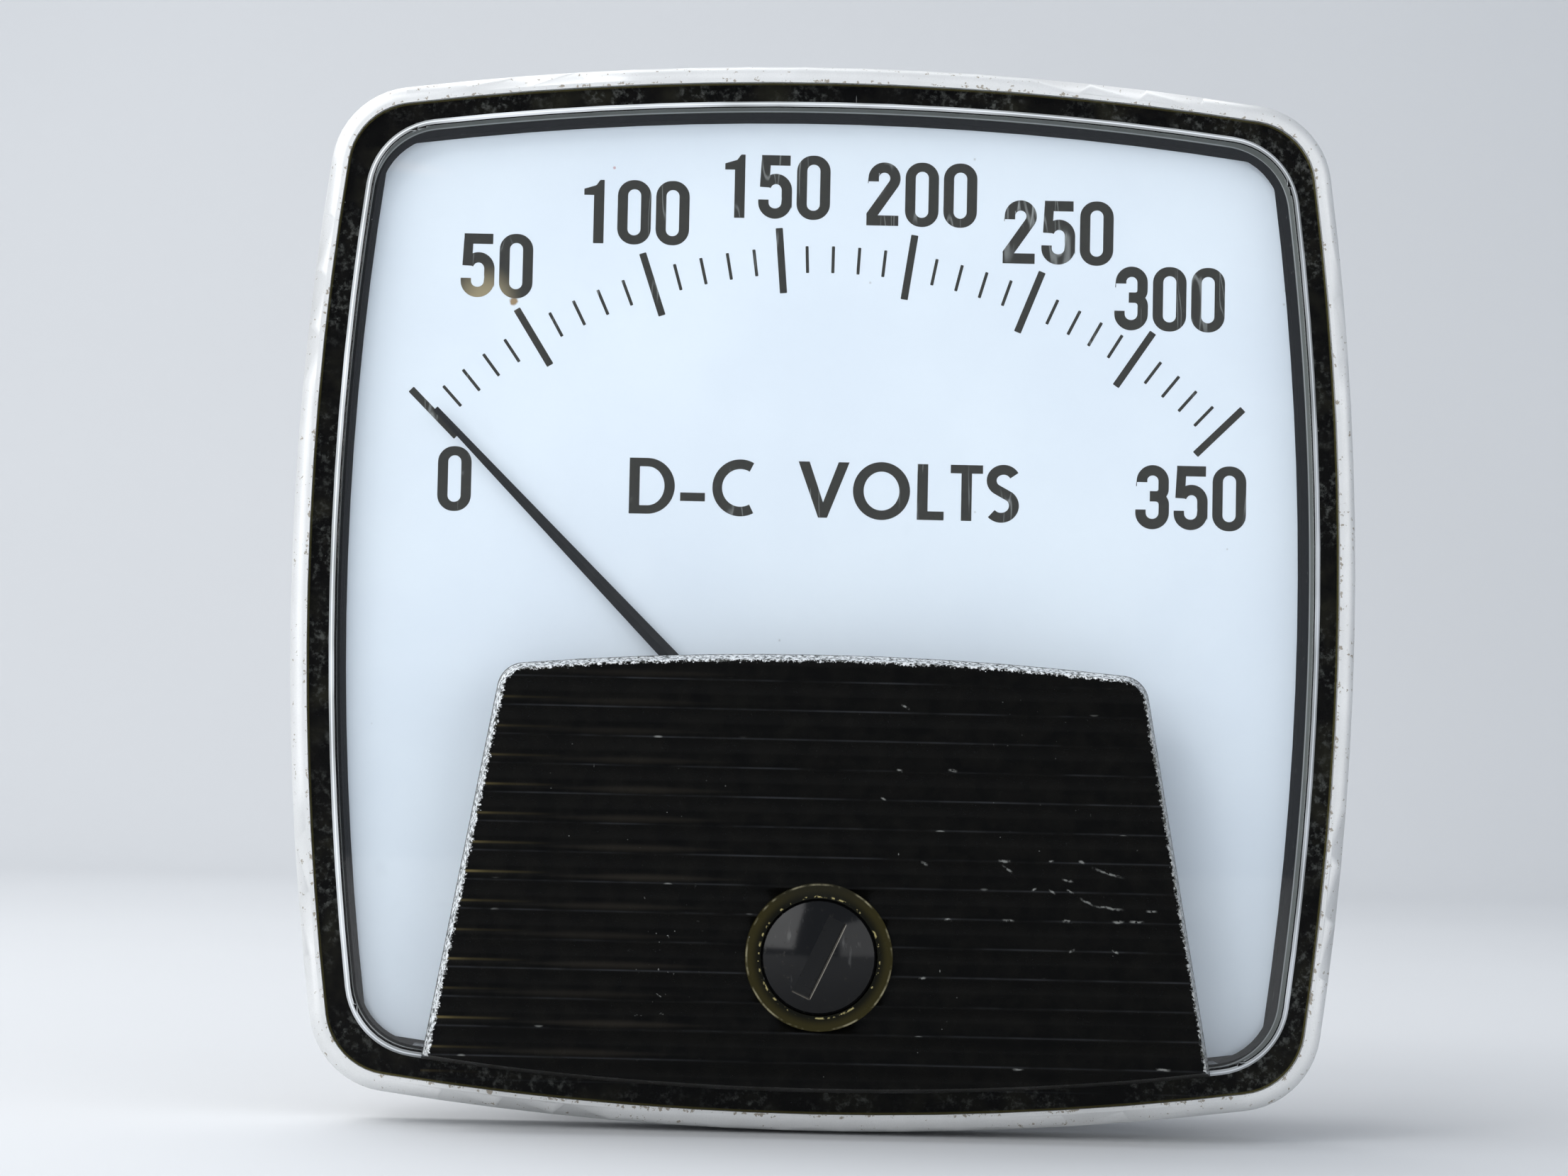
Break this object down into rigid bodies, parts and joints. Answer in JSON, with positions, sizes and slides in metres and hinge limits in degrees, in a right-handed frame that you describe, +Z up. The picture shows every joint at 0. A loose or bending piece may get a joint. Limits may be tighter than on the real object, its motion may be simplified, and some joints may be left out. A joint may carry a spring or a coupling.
{
  "type": "panel voltmeter",
  "caption": "Square panel voltmeter with bowed sides, a clear raised window, a fluted lower mask with a slotted zero screw, a moving coil pointer and a round barrel behind.",
  "frame": {"origin": "on the axis of the round barrel, in the plane where the back of the flange meets the panel", "axes": "+X to the right as the dial is read, +Y along the barrel into the panel, +Z up, so the dial faces -Y"},
  "size_m": [0.09, 0.0587, 0.09],
  "materials": {
    "case_moulding": "matte",
    "rim_silver": "satin",
    "seal_rubber": "matte",
    "clear_cover": "gloss",
    "screw_black": "gloss",
    "spring_steel": "satin",
    "dial_white": "matte",
    "screw_steel": "satin",
    "frame_alloy": "matte",
    "yoke_steel": "satin",
    "magnet": "matte",
    "brass": "satin",
    "laminate": "matte",
    "jewel_red": "gloss",
    "coil_aluminium": "satin",
    "coil_copper": "gloss",
    "staff_steel": "polished",
    "pointer_black": "matte",
    "balance_alloy": "satin",
    "spring_bronze": "satin",
    "terminal_brass": "satin",
    "terminal_steel": "satin",
    "wire_insulation": "satin",
    "stud_steel": "satin"
  },
  "bodies": {
    "case": {"case": "case_moulding", "bezel_rim": "rim_silver", "cover_gasket": "seal_rubber", "front_cover": "clear_cover", "zero_adjust_seal": "seal_rubber", "dial_plate": "dial_white", "dial_screws": "screw_steel", "movement_frame": "frame_alloy", "frame_screws": "screw_steel", "yoke_ring": "yoke_steel", "core_magnet": "magnet", "core_spacers": "brass", "front_bridge": "brass", "bridge_screws": "screw_steel", "rear_bridge": "laminate", "rear_bridge_screws": "screw_steel", "front_jewel_screw": "brass", "rear_jewel_screw": "brass", "jewels": "jewel_red", "rear_spring_anchor": "brass", "pointer_stops": "brass", "terminal_studs": "terminal_brass", "terminal_lugs": "terminal_brass", "terminal_washers": "terminal_steel", "terminal_lock_washers": "terminal_steel", "terminal_nuts": "terminal_brass", "lead_wires": "wire_insulation", "panel_studs": "stud_steel"},
    "moving_coil": {"coil_former": "coil_aluminium", "coil_winding": "coil_copper", "pivot_staffs": "staff_steel", "pointer": "pointer_black", "balance_cross": "balance_alloy", "balance_weights": "brass", "front_hairspring": "spring_bronze", "rear_hairspring": "spring_bronze"},
    "zero_screw": {"zero_adjust_screw": "screw_black", "zero_adjust_clip": "spring_steel"},
    "zero_lever": {"zero_lever": "brass"}
  },
  "joints": [
    {"name": "pointer", "type": "hinge", "parent": "case", "child": "moving_coil", "pos_m": [0, 0, -0.0184], "axis": [0, 1, 0], "range_deg": [-2, 93], "stiffness_Nm_per_rad": 0.000006, "deforming": ["front_hairspring", "rear_hairspring"]},
    {"name": "zero_adjust", "type": "hinge", "parent": "case", "child": "zero_screw", "pos_m": [0, -0.0118, -0.0302], "axis": [0, 1, 0], "range_deg": [-60, 60]},
    {"name": "zero_lever", "type": "hinge", "parent": "case", "child": "zero_lever", "pos_m": [0, -0.0088, -0.0184], "axis": [0, 1, 0], "range_deg": [-7.3, 7.3]}
  ],
  "couplings": [
    {"joint": "zero_lever", "follows": "zero_adjust", "ratio": -0.1197}
  ]
}
